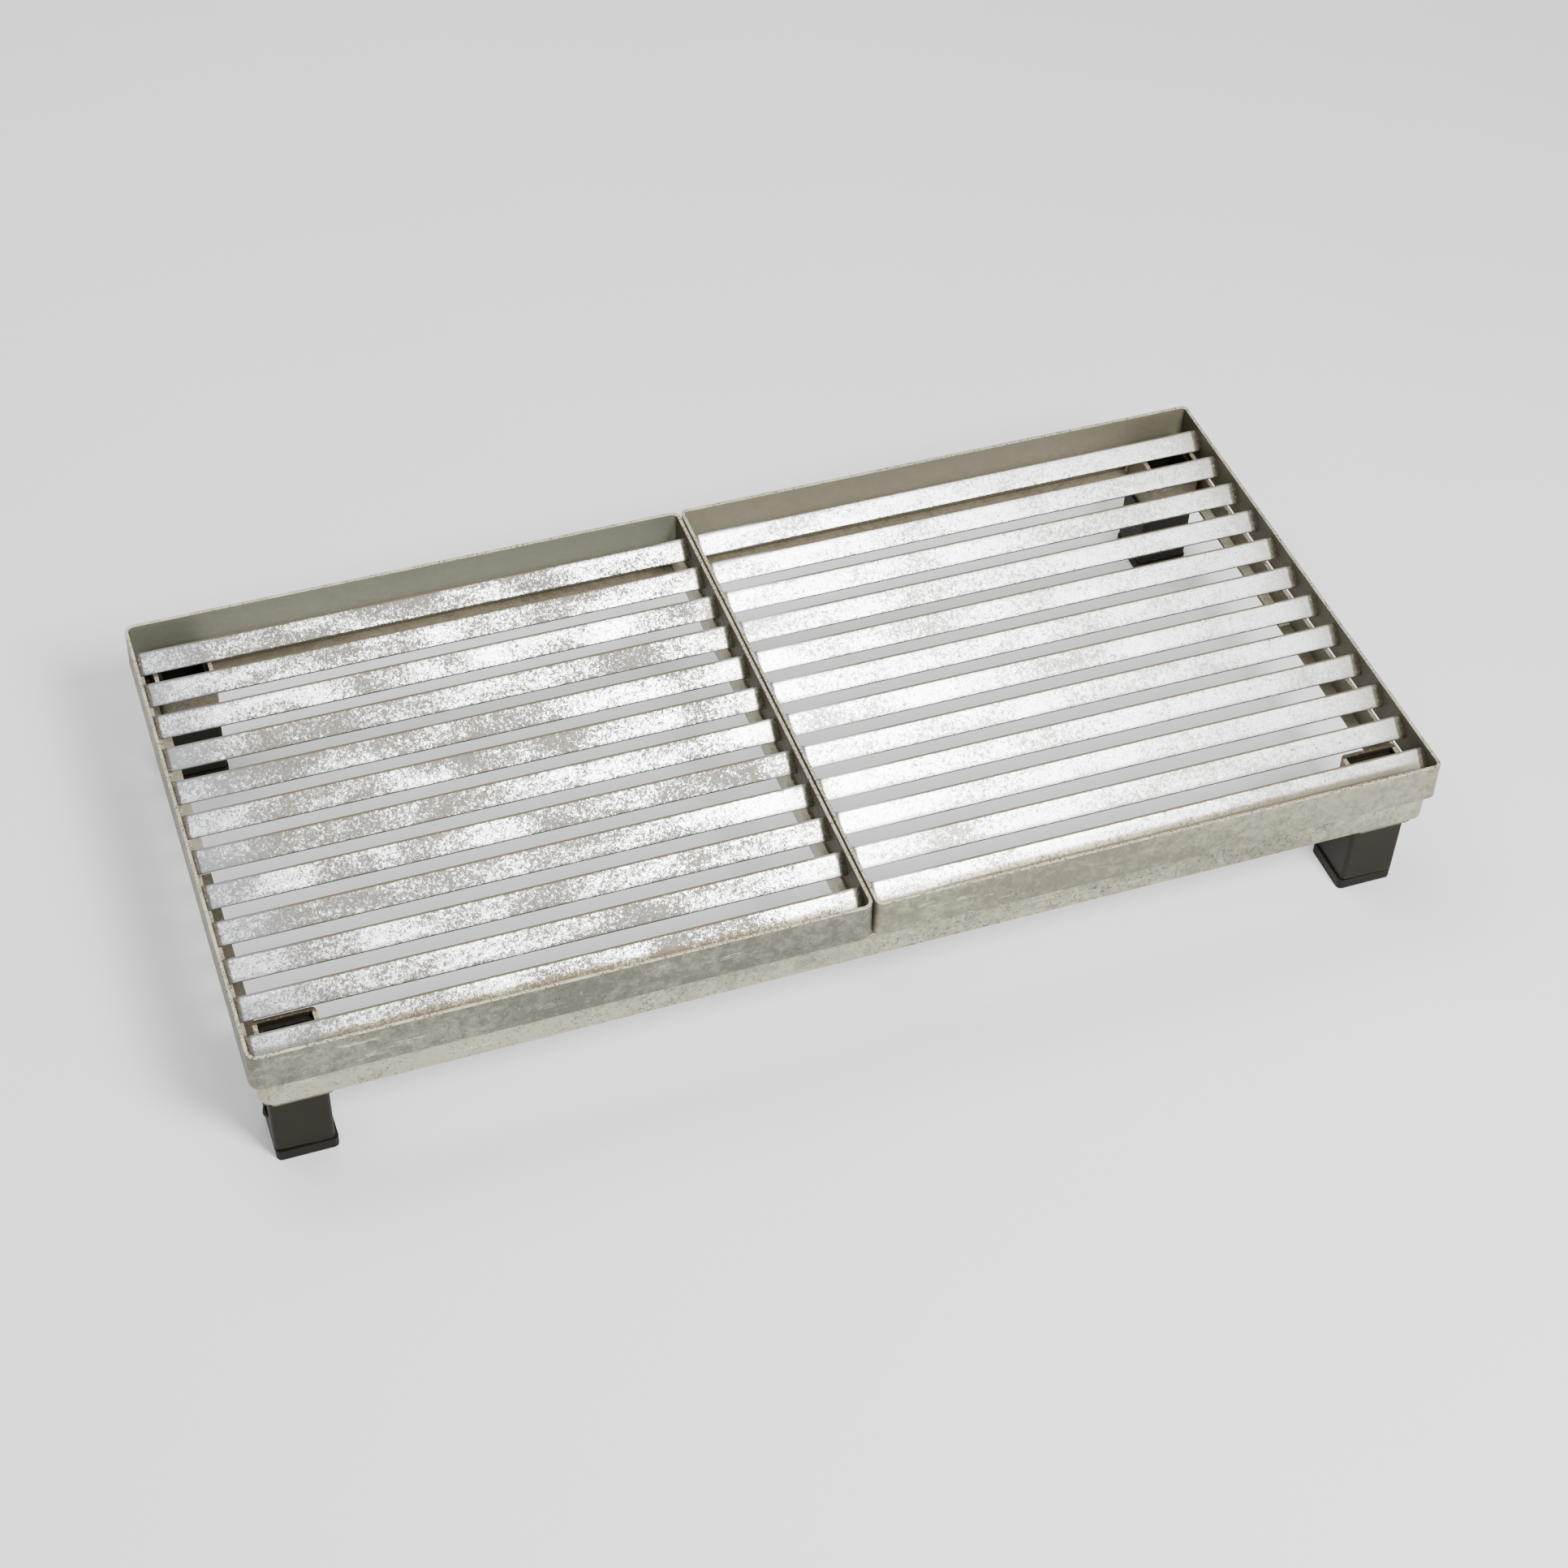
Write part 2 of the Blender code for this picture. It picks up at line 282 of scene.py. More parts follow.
def slat_zinc(name, look):
    """Bar zinc: bright flakes over dull patches, dark pits, thin stained lines along both long edges."""
    s = Shader(name)
    place = s.mapped(offset=(look.seed, look.seed * 0.7, look.seed * 0.3))
    along = s.mapped(scale=(1.0, 1.6, 1.6), offset=(look.seed, 0.0, 0.0))
    fine = s.noise(1300.0, 3.0, 0.7, place)
    dulled = slat_patches(s, look, place, along, fine)
    colour = slat_metal(s, look, place, dulled, fine)

    across = s.attribute("across")
    ragged = s.times(s.subtract(s.noise(240.0, 4.0, 0.7, place), 0.5), 0.06)
    rise = s.add(across, ragged)
    top_line = s.ramp(rise, 0.900, 0.940)
    low_line = s.ramp(rise, 0.075, 0.030)
    colour = s.stain(colour, top_line, 0.95, (0.125, 0.098, 0.052))
    colour = s.stain(colour, low_line, 0.95, (0.035, 0.031, 0.020))
    # Painted shade: an olive band low down on the front slat.
    lip_edge = s.add(across, s.times(ragged, 1.6))
    lip_shade = s.times(s.attribute("front"), s.ramp(lip_edge, 0.56, 0.33))
    colour = s.stain(colour, lip_shade, 0.9, (0.125, 0.105, 0.055))

    left_end, right_end = s.attribute("left_end"), s.attribute("right_end")
    # Painted shade: the bar darker towards both ends.
    colour = s.stain(colour, s.ramp(left_end, 0.085, 0.012), 0.6, look.left_end_shade)
    colour = s.stain(colour, s.ramp(right_end, 0.035, 0.006), 0.62, look.right_end_shade)
    nearest = s.math("MINIMUM", left_end, right_end)
    burnt_ends = s.ramp(s.add(nearest, s.times(ragged, 0.05)), 0.0068, 0.0042)
    colour = s.stain(colour, burnt_ends, 0.85, (0.07, 0.063, 0.042))

    rough = s.blend(dulled, s.blend(fine, 0.26, 0.38), 0.52)
    rough = s.blend(s.math("MAXIMUM", top_line, burnt_ends), rough, 0.66)
    brushed = s.noise(700.0, 3.0, 0.6, s.mapped(scale=(0.10, 1.0, 1.0), offset=(look.seed, 0.0, 0.0)))
    height = s.add(s.add(s.times(dulled, -0.35), s.times(fine, 0.5)), s.times(brushed, 0.4))
    normal = s.bump(height, look.grain_depth, 0.7)
    normal = s.bump(s.noise(28.0, 2.0, 0.5, along), 0.9 * MM, 0.30, normal)
    metallic = s.blend(dulled, 0.90, 0.55)
    return s.finish(Base_Color=colour, Roughness=rough, Metallic=metallic, Normal=normal)


# ---------------------------------------------------------------- plate finish

class ShadedInnerFace(NamedTuple):
    """One inward side of a ring, in a colour of painted shade.

    It faces along the axis, with that sign. The ring's middle and half size are along the same axis.
    """
    axis: str
    sign: float
    middle: float
    half: float
    colour: tuple


class Ledge(NamedTuple):
    """Flange faces that look up: the height they are below, and their colours in front (painted shade) and
    at the rear (painted light).
    """
    height: float
    front: tuple
    rear: tuple


class TopEdge(NamedTuple):
    """A worn top edge: its height, worn and rusty colours, its reach down, and the y it is burnt beyond."""
    height: float
    worn: tuple
    rusty: tuple
    reach: float = 0.0
    burnt_beyond: float = None


def inner_shade_faces(node, right, left, forwards):
    """A ring's inward sides, with the painted shade colours of those that look right, left and forwards."""
    low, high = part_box(node)
    middle, half = (low + high) / 2, (high - low) / 2
    return [
        ShadedInnerFace("X", 1.0, middle.x, half.x, right),
        ShadedInnerFace("X", -1.0, middle.x, half.x, left),
        ShadedInnerFace("Y", -1.0, middle.y, half.y, forwards),
        ShadedInnerFace("Y", 1.0, middle.y, half.y, left),
    ]


def plate_marks(s, place, seed, colour, pale, stain_share, speckle):
    """colour with pale scuffs and lichen, rust specks and freckles over it."""
    scuff_path = s.mapped(scale=(0.15, 0.15, 1.0), offset=(seed * 1.7, 0.0, 0.0))
    scuffs = s.ramp(s.noise(170.0, 6.0, 0.75, scuff_path, 0.2), 0.60, 0.65)
    scuffs = s.times(scuffs, s.ramp(s.noise(13.0, 2.0, 0.5, place), 0.46, 0.60))
    colour = s.stain(colour, scuffs, 0.75, pale)
    lichen = s.ramp(s.noise(120.0, 6.0, 0.78, place, 0.6), 0.615, 0.66)
    lichen = s.times(lichen, s.ramp(s.noise(8.0, 2.0, 0.5, place), 0.50, 0.62))
    colour = s.stain(colour, lichen, 0.8 * stain_share, scaled(pale, 1.15))
    rust = s.specks(560.0, place, 2, 0.4 * speckle, 0.42)
    rust = s.times(rust, s.ramp(s.noise(17.0, 4.0, 0.65, place), 0.42, 0.54))
    colour = s.stain(colour, rust, 0.85, (0.06, 0.047, 0.032))
    freckles = s.ramp(s.noise(300.0, 4.0, 0.8, place), 0.555, 0.575)
    freckles = s.times(freckles, s.ramp(s.noise(7.0, 2.0, 0.5, place), 0.46, 0.56))
    return s.stain(colour, freckles, 0.85 * speckle, (0.075, 0.066, 0.046))


def paint_inner_shade(s, tone, colour, face):
    """colour with painted shade on one inward side of the ring."""
    side = (face.sign, 0.0) if face.axis == "X" else (0.0, face.sign)
    beyond = s.times(s.subtract(s.axis(face.axis), face.middle), -face.sign)
    mask = s.times(s.facing(*side), s.ramp(beyond, face.half - 20.0 * MM, face.half - 16.0 * MM))
    shaded = s.mix(s.times(tone, 0.7), face.colour, scaled(face.colour, 0.55))
    return s.stain(colour, mask, 0.9, shaded)


def plate_ledge_shading(s, tone, colour, ledge):
    """colour with painted shade on the flange faces that look up in front, and painted light on those at
    the rear.
    """
    upward = s.node("SeparateXYZ", {0: s.normal()}).outputs["Z"]
    mask = s.times(s.ramp(upward, 0.5, 0.8), s.math("LESS_THAN", s.axis("Z"), ledge.height))
    mottled = s.ramp(tone, 0.42, 0.60)
    front = s.mix(mottled, ledge.front, scaled(ledge.front, 0.5))
    rear = s.mix(mottled, ledge.rear, scaled(ledge.rear, 0.6))
    return s.stain(colour, mask, 0.92, s.mix(s.math("GREATER_THAN", s.axis("Y"), 0.0), front, rear))


def plate_top(s, place, colour, top):
    """colour with a thin worn line along the top edge, rusty in places."""
    ragged = s.times(s.subtract(s.noise(420.0, 4.0, 0.7, place), 0.5), 1.0 * MM)
    start, end = top.height - 1.0 * MM - top.reach, top.height - 0.6 * MM - top.reach
    line = s.ramp(s.add(s.axis("Z"), ragged), start, end)
    worn = s.ramp(s.noise(520.0, 5.0, 0.75, place), 0.42, 0.52)
    worn = s.math("MAXIMUM", worn, s.ramp(s.noise(45.0, 3.0, 0.6, place), 0.50, 0.62))
    if top.burnt_beyond is not None:
        start, end = top.burnt_beyond + 0.6 * MM, top.burnt_beyond - 0.6 * MM
        whole = s.ramp(s.add(s.axis("Y"), ragged), start, end)
        flecks = s.ramp(s.noise(300.0, 4.0, 0.7, place), 0.56, 0.62)
        worn = s.times(worn, s.math("MAXIMUM", whole, s.times(flecks, 0.5)))
    return s.stain(colour, line, 0.95, s.mix(worn, top.rusty, top.worn))


def plate_zinc(name, seed, base, stained, pale, stain_share, speckle, inner_shade=(), ledge=None, top=None):
    """Flat-bar zinc: clouds and streaks with marks over them, painted shade and light on the ring's inward
    sides and ledges, and its top edge.
    """
    s = Shader(name)
    place = s.mapped(offset=(seed, seed * 0.4, seed * 0.9))
    cloud = s.noise(9.0, 4.0, 0.6, s.mapped(scale=(0.35, 0.35, 1.0), offset=(seed, 0.0, 0.0)))
    mottle = s.noise(100.0, 7.0, 0.80, place, 0.5)
    grain = s.noise(900.0, 3.0, 0.65, place)
    tone = s.add(s.times(cloud, 0.5), s.times(mottle, 0.5))
    colour = s.mix(s.ramp(tone, 0.53 - 0.3 * stain_share, 0.71 - 0.3 * stain_share), base, stained)
    colour = s.stain(colour, s.ramp(grain, 0.40, 0.68), 0.6, scaled(base, 0.55))
    colour = plate_marks(s, place, seed, colour, pale, stain_share, speckle)
    for face in inner_shade:
        colour = paint_inner_shade(s, tone, colour, face)
    if ledge:
        colour = plate_ledge_shading(s, tone, colour, ledge)
    if top:
        colour = plate_top(s, place, colour, top)
    height = s.add(s.times(grain, 0.4), s.times(mottle, 0.6))
    normal = s.bump(height, 0.18 * MM, 0.7)
    normal = s.bump(s.noise(11.0, 2.0, 0.5, place), 1.2 * MM, 0.35, normal)
    return s.finish(Base_Color=colour, Roughness=s.blend(grain, 0.50, 0.66), Metallic=0.55, Normal=normal)


# ---------------------------------------------------------------- leg, cap and weld finishes

def leg_paint(name):
    """Brown-black paint, a little glossy, with fine orange peel and a painted highlight along its edges."""
    s = Shader(name)
    peel = s.noise(900.0, 2.0, 0.5)
    cloud = s.noise(40.0, 5.0, 0.6)
    colour = s.mix(cloud, (0.008, 0.006, 0.0038), (0.019, 0.0160, 0.0105))
    dust = s.ramp(s.noise(330.0, 5.0, 0.7), 0.60, 0.72)
    colour = s.stain(colour, dust, 0.10, (0.07, 0.06, 0.045))
    bevelled = s.node("Bevel", {"Radius": 1.8 * MM}, samples=4).outputs[0]
    flat = s.node("NewGeometry").outputs["Normal"]
    turn = s.node("VectorMath", {0: bevelled, 1: flat}, operation="DOT_PRODUCT").outputs["Value"]
    # Painted highlight along the rounded edges, in patches.
    edge_highlight = s.times(s.ramp(turn, 0.985, 0.90), s.ramp(s.noise(200.0, 5.0, 0.7), 0.40, 0.62))
    colour = s.stain(colour, edge_highlight, 0.5, (0.10, 0.085, 0.06))
    rough = s.blend(cloud, 0.46, 0.62)
    normal = s.bump(peel, 0.05 * MM, 0.5)
    return s.finish(Base_Color=colour, Roughness=rough, Specular_IOR_Level=0.13, Normal=normal)


def cap_plastic(name):
    """Moulded black plastic with a fine spark texture, scuffed grey low down."""
    s = Shader(name)
    grain = s.noise(1500.0, 2.0, 0.6)
    cloud = s.noise(60.0, 5.0, 0.6)
    colour = s.mix(cloud, (0.006, 0.005, 0.004), (0.016, 0.014, 0.010))
    low = s.ramp(s.add(s.axis("Z"), s.times(cloud, 6.0 * MM)), 7.0 * MM, 3.0 * MM)
    scuffed = s.times(low, s.ramp(s.noise(260.0, 5.0, 0.75), 0.5, 0.66))
    colour = s.stain(colour, scuffed, 0.3, (0.10, 0.09, 0.075))
    rough = s.blend(grain, 0.5, 0.66)
    normal = s.bump(grain, 0.06 * MM, 0.6)
    return s.finish(Base_Color=colour, Roughness=rough, Specular_IOR_Level=0.13, Normal=normal)


def weld_metal(name, seed, low, high):
    """Zinc-coated weld: brown-grey, lumpy, with a few painted glints."""
    s = Shader(name)
    place = s.mapped(offset=(seed, 0.0, 0.0))
    lumps = s.noise(420.0, 5.0, 0.7, place)
    colour = s.mix(s.ramp(lumps, 0.40, 0.66), low, high)
    # Painted glints on the lumps.
    glints = s.ramp(s.noise(520.0, 4.0, 0.7, place), 0.63, 0.68)
    colour = s.stain(colour, glints, 0.7, (0.55, 0.52, 0.42))
    normal = s.bump(lumps, 0.3 * MM, 0.7)
    return s.finish(Base_Color=colour, Roughness=s.blend(lumps, 0.5, 0.68), Metallic=0.45, Normal=normal)


# ---------------------------------------------------------------- materials

SLAT_ZINC = {
    "left": slat_zinc("left_slat_zinc", SlatLook(
        seed=3.1, bright=(0.98, 0.985, 1.0), darkest_flake=0.42, dull=(0.150, 0.141, 0.118),
        dull_share=0.55, pit_share=0.34, patchiness=0.40, left_end_shade=(0.23, 0.245, 0.265),
        right_end_shade=(0.50, 0.49, 0.45), grain_depth=0.16 * MM, cleaner_end=0.055,
    )),
    "right": slat_zinc("right_slat_zinc", SlatLook(
        seed=9.4, bright=(0.90, 0.905, 0.91), darkest_flake=0.66, dull=(0.44, 0.435, 0.405),
        dull_share=0.42, pit_share=0.05, patchiness=0.30, left_end_shade=(0.70, 0.70, 0.70),
        right_end_shade=(0.30, 0.285, 0.24), grain_depth=0.08 * MM, cleaner_end=0.0,
    )),
}
CREAM, RUST = (0.58, 0.53, 0.40), (0.10, 0.07, 0.035)
RIM_TOP = TopEdge(cad_high.z, CREAM, RUST)
# Painted shade on the rims' inward sides: dark where they look sideways, lighter on the rear side that
# looks forwards.
RIM_SHADE = (0.078, 0.067, 0.042)
RIM_ZINC = {
    "left": plate_zinc(
        "left_rim_zinc", 1.3, (0.32, 0.315, 0.245), (0.105, 0.105, 0.078), (0.56, 0.53, 0.40),
        stain_share=0.5, speckle=0.4, top=RIM_TOP,
        inner_shade=inner_shade_faces("left_grate_rim", RIM_SHADE, RIM_SHADE, (0.27, 0.27, 0.205)),
    ),
    "right": plate_zinc(
        "right_rim_zinc", 5.8, (0.39, 0.365, 0.27), (0.155, 0.147, 0.106), (0.58, 0.55, 0.43),
        stain_share=0.45, speckle=0.3, top=RIM_TOP,
        inner_shade=inner_shade_faces("right_grate_rim", RIM_SHADE, RIM_SHADE, (0.27, 0.25, 0.175)),
    ),
}
FRAME_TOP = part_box("base_frame")[1].z
FRAME_ZINC = plate_zinc(
    "frame_zinc", 7.7, (0.47, 0.44, 0.335), (0.20, 0.19, 0.14), (0.64, 0.61, 0.49),
    stain_share=0.35, speckle=0.9, top=TopEdge(FRAME_TOP, CREAM, RUST),
    # painted shade on the frame's inward sides, lighter on the rear side that looks forwards
    inner_shade=inner_shade_faces("base_frame", (0.065, 0.057, 0.036), (0.085, 0.075, 0.048), (0.21, 0.192, 0.125)),
    # painted shade on the front ledges, painted light on the rear ones
    ledge=Ledge(FRAME_TOP - 10.0 * MM, (0.120, 0.104, 0.068), (0.58, 0.53, 0.39)),
)
# Painted light: the crossbar's zinc is a much lighter copy of the frame's, standing in for light it gets in
# the bay.
CROSSBAR_ZINC_LIT = plate_zinc(
    "crossbar_zinc_lit", 4.1, (0.58, 0.545, 0.43), (0.42, 0.39, 0.295), (0.64, 0.61, 0.49),
    stain_share=0.5, speckle=0.4,
)
# Painted shade: the sockets' inward sides near black.
HOLLOW_SHADE = (0.012, 0.010, 0.008)
SOCKET_ZINC = {}
for corner in CORNERS:
    socket_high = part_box("leg_socket_" + corner)[1]
    SOCKET_ZINC[corner] = plate_zinc(
        "socket_zinc_" + corner, 2.9, (0.25, 0.225, 0.155), (0.15, 0.135, 0.09), (0.45, 0.42, 0.31),
        stain_share=0.6, speckle=0.6,
        inner_shade=inner_shade_faces("leg_socket_" + corner, HOLLOW_SHADE, HOLLOW_SHADE, HOLLOW_SHADE),
        top=TopEdge(
            socket_high.z, (0.44, 0.39, 0.27), (0.07, 0.055, 0.032),
            reach=0.4 * MM, burnt_beyond=socket_high.y - 5.0 * MM,
        ),
    )
LEG_PAINT = leg_paint("leg_paint")
CAP_PLASTIC = cap_plastic("cap_plastic")
SLAT_WELD = weld_metal("slat_weld_zinc", 4.4, (0.045, 0.040, 0.024), (0.105, 0.094, 0.060))
FRAME_WELD = weld_metal("frame_weld_zinc", 8.8, (0.08, 0.07, 0.042), (0.34, 0.31, 0.22))


# ---------------------------------------------------------------- mesh helpers

def new_piece(name, points, faces, material, smooth_angle=35.0):
    mesh = bpy.data.meshes.new(name)
    mesh.from_pydata(points, [], faces)
    mesh.materials.append(material)
    mesh.shade_smooth()
    mesh.set_sharp_from_angle(angle=math.radians(smooth_angle))
    obj = bpy.data.objects.new(name, mesh)
    bpy.context.scene.collection.objects.link(obj)
    return obj


def sweep_faces(stations, count, closed_path):
    """Quads of a tube with count points round it, and its end caps if the path is open."""
    faces = []
    last = stations if closed_path else stations - 1
    for i in range(last):
        a, b = i * count, ((i + 1) % stations) * count
        for j in range(count):
            k = (j + 1) % count
            faces.append((a + j, a + k, b + k, b + j))
    if not closed_path:
        faces.append(tuple(reversed(range(count))))
        faces.append(tuple((stations - 1) * count + j for j in range(count)))
    return faces


def rounded_section(width, height, radius, steps=3, face_points=5):
    """Points round a rectangle about the origin with rounded corners, anticlockwise from the right side."""
    points = []
    for quarter, (side_x, side_y) in enumerate(((1, 1), (-1, 1), (-1, -1), (1, -1))):
        for step in range(steps + 1):
            angle = math.pi / 2 * (quarter + step / steps)
            points.append((
                side_x * (width / 2 - radius) + radius * math.cos(angle),
                side_y * (height / 2 - radius) + radius * math.sin(angle),
            ))
        if quarter in (0, 2):
            for step in range(1, face_points):
                share = 1 - 2 * step / face_points
                points.append((side_x * share * (width / 2 - radius), side_y * height / 2))
    return points


def stand_for(obj, node, body):
    """Makes obj ride on the body and take the place of the CAD node."""
    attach(obj, body)
    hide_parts(node)


# ---------------------------------------------------------------- slats

def make_slat(node, body, material, seed):
    """A flat bar with rolled edges that bows and twists a little along its length."""
    low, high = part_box(node)
    centre = (low + high) / 2
    left, right = low.x - SLAT_END_REACH, high.x + SLAT_END_REACH
    # the front slat carries a band of painted shade low down
    is_front = 1.0 if node.endswith("_01") else 0.0
    section = rounded_section(SLAT_WIDTH, SLAT_THICKNESS, SLAT_EDGE_RADIUS)
    points = []
    columns = {"across": [], "left_end": [], "right_end": [], "front": []}
    for i in range(SLAT_STATIONS):
        x = left + (right - left) * i / (SLAT_STATIONS - 1)
        bow = noise.noise(Vector((x * 4.0, seed, 0.0))) * SLAT_WOBBLE
        lift = noise.noise(Vector((x * 5.0, seed, 7.0))) * SLAT_WOBBLE
        twist = noise.noise(Vector((x * 5.0, seed, 3.0))) * SLAT_TWIST
        for a, b in section:
            nick = noise.noise(Vector((x * 160.0, a * 500.0, seed))) * SLAT_NICK
            rise = a * math.cos(twist) - b * math.sin(twist) + lift
            reach = a * math.sin(twist) + b * math.cos(twist) + bow + nick
            point = centre + SLAT_UP * rise + SLAT_OUT * reach
            points.append((x, point.y, point.z))
            columns["across"].append(a / SLAT_WIDTH + 0.5)
            columns["left_end"].append(x - left)
            columns["right_end"].append(right - x)
            columns["front"].append(is_front)
    faces = sweep_faces(SLAT_STATIONS, len(section), False)
    slat = new_piece(node + "_bar", points, faces, material)
    for name, values in columns.items():
        attribute = slat.data.attributes.new(name, "FLOAT", "POINT")
        attribute.data.foreach_set("value", values)
    stand_for(slat, node, body)


# ---------------------------------------------------------------- rims

def rounded_path(low, high, radius, step):
    """(point, outward direction) round a rectangle in the plane, with arcs at its corners."""
    path = []
    centres = [
        (high.x - radius, high.y - radius),
        (low.x + radius, high.y - radius),
        (low.x + radius, low.y + radius),
        (high.x - radius, low.y + radius),
    ]
    for quarter, (cx, cy) in enumerate(centres):
        for k in range(RIM_CORNER_STEPS + 1):
            angle = math.pi / 2 * (quarter + k / RIM_CORNER_STEPS)
            direction = Vector((math.cos(angle), math.sin(angle), 0.0))
            path.append((Vector((cx, cy, 0.0)) + direction * radius, direction))
        next_x, next_y = centres[(quarter + 1) % 4]
        start = path[-1][0]
        angle = math.pi / 2 * (quarter + 1)
        direction = Vector((math.cos(angle), math.sin(angle), 0.0))
        finish = Vector((next_x, next_y, 0.0)) + direction * radius
        count = int((finish - start).length / step)
        for k in range(1, count):
            path.append((start.lerp(finish, k / count), direction))
    return path


def make_rim(node, body, material, corner_radius, seed):
    """A closed band of flat bar with rolled edges, leaning out a little towards its bottom edge."""
    low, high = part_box(node)
    height = high.z - low.z
    path = rounded_path(low, high, corner_radius, RIM_STEP)
    section = rounded_section(height, RIM_WALL, RIM_EDGE_RADIUS, 3, 7)
    points = []
    for point, direction in path:
        wave = noise.noise(point * 9.0 + Vector((seed, 0.0, 0.0))) * RIM_WOBBLE
        dip = noise.noise(point * 14.0 + Vector((0.0, seed, 0.0))) * RIM_WOBBLE * 0.6
        for a, b in section:
            fall = 0.5 - a / height
            nick = noise.noise(Vector((point.x * 130.0, point.y * 130.0 + a * 300.0, seed))) * RIM_NICK
            offset = -RIM_WALL / 2 + b + wave * (0.4 + 0.6 * fall) + RIM_FLARE * fall * fall + nick
            place = point + direction * offset
            points.append((place.x, place.y, low.z + height / 2 + a + dip - RIM_WOBBLE * 0.6))
    faces = [tuple(reversed(f)) for f in sweep_faces(len(path), len(section), True)]
    stand_for(new_piece(node + "_band", points, faces, material), node, body)


# ---------------------------------------------------------------- welds

def bead(points, faces, start, finish, radius, seed, ripple=2.2 * MM, swell_share=0.16, lump_share=0.35):
    """Adds a rippled weld bead from start to finish to the lists of points and faces."""
    span = finish - start
    stations = max(6, int(span.length / (ripple / 4)))
    axis = span.normalized()
    side = axis.orthogonal().normalized()
    other = axis.cross(side)
    first = len(points)
    for i in range(stations):
        share = i / (stations - 1)
        taper = math.sqrt(max(0.02, 1 - (2 * share - 1) ** 8))
        swell = 1 + swell_share * math.sin(2 * math.pi * span.length * share / ripple)
        swell += lump_share * noise.noise(Vector((share * span.length * 220.0, seed, 0.0)))
        for j in range(BEAD_SIDES):
            angle = 2 * math.pi * j / BEAD_SIDES
            spread = radius * taper * swell
            point = start + span * share + (side * math.cos(angle) + other * math.sin(angle)) * spread
            points.append(tuple(point))
    faces.extend(tuple(first + v for v in f) for f in sweep_faces(stations, BEAD_SIDES, False))


def fillet(points, faces, middle, inward, seed):
    """Adds a smooth hollow fillet on a slat's open face, along its end, where it meets the rim's wall."""
    stations, arc = 15, 5
    first = len(points)
    for i in range(stations):
        share = 2 * i / (stations - 1) - 1
        reach = FILLET_REACH * (1 + 0.22 * noise.noise(Vector((share * 2.4, seed, 0.0))))
        reach *= math.sqrt(max(0.05, 1 - share ** 6))
        base = middle + SLAT_UP * (share * (SLAT_WIDTH / 2 - 0.4 * MM))
        base = base + SLAT_OUT * (SLAT_THICKNESS / 2 - FILLET_SINK)
        wall = Vector((-inward * 1.0 * MM, 0.0, 0.0))
        points.append(tuple(base + wall))
        for k in range(arc + 1):
            angle = math.pi / 2 * k / arc
            along, rise = reach * (1 - math.sin(angle)), reach * (1 - math.cos(angle))
            inside = Vector((inward * along, 0.0, 0.0))
            points.append(tuple(base + inside + SLAT_OUT * (rise + FILLET_SINK)))
        points.append(tuple(base + wall + SLAT_OUT * (reach + FILLET_SINK)))
    ring = [tuple(first + v for v in f) for f in sweep_faces(stations, arc + 3, False)]
    faces.extend(ring if inward < 0 else [tuple(reversed(f)) for f in ring])


def make_slat_welds(side, body):
    """At both ends of every slat, a bead under it and a fillet on its open face."""
    points, faces = [], []
    for index in range(1, SLATS_PER_GRATE + 1):
        low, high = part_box(f"{side}_slat_{index:02d}")
        middle = (low + high) / 2
        for end, x in enumerate((low.x, high.x)):
            seed = index * 3.7 + end * 11.0
            end_middle = Vector((x, middle.y, middle.z))
            below = end_middle - SLAT_OUT * 1.3 * MM
            start, finish = below - SLAT_UP * 9.0 * MM, below + SLAT_UP * 8.5 * MM
            bead(points, faces, start, finish, SLAT_BEAD_RADIUS, seed, swell_share=0.04, lump_share=0.15)
            fillet(points, faces, end_middle, 1.0 if end == 0 else -1.0, seed)
    welds = new_piece(f"{side}_slat_welds", points, faces, SLAT_WELD, 60.0)
    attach(welds, body)


def make_frame_welds():
    """Upright beads at the sockets and the crossbar's ends, and a long seam beside the crossbar's top."""
    points, faces = [], []
    frame_low, frame_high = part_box("base_frame")
    for corner in CORNERS:
        low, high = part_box("leg_socket_" + corner)
        wall_y = low.y if "front" in corner else high.y
        for k, x in enumerate((low.x, high.x)):
            start = Vector((x, wall_y, frame_low.z + 3.5 * MM))
            finish = Vector((x, wall_y, frame_high.z - 1.0 * MM))
            bead(points, faces, start, finish, SOCKET_BEAD_RADIUS, k * 3.0 + high.x * 40.0 + wall_y * 90.0)
    low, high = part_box("centre_crossbar")
    for y in (low.y, high.y):
        for x in (low.x, high.x):
            start, finish = Vector((x, y, low.z + 1.0 * MM)), Vector((x, y, high.z - 1.0 * MM))
            bead(points, faces, start, finish, CROSSBAR_BEAD_RADIUS, x * 900 + y)
    x, z = high.x + 0.9 * MM, high.z - 2.9 * MM
    start, finish = Vector((x, low.y + 1.0 * MM, z)), Vector((x, high.y - 1.0 * MM, z))
    bead(points, faces, start, finish, SEAM_RADIUS, 21.0, SEAM_RIPPLE, swell_share=0.08, lump_share=0.30)
    welds = new_piece("frame_welds", points, faces, FRAME_WELD, 60.0)
    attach(welds, "base")


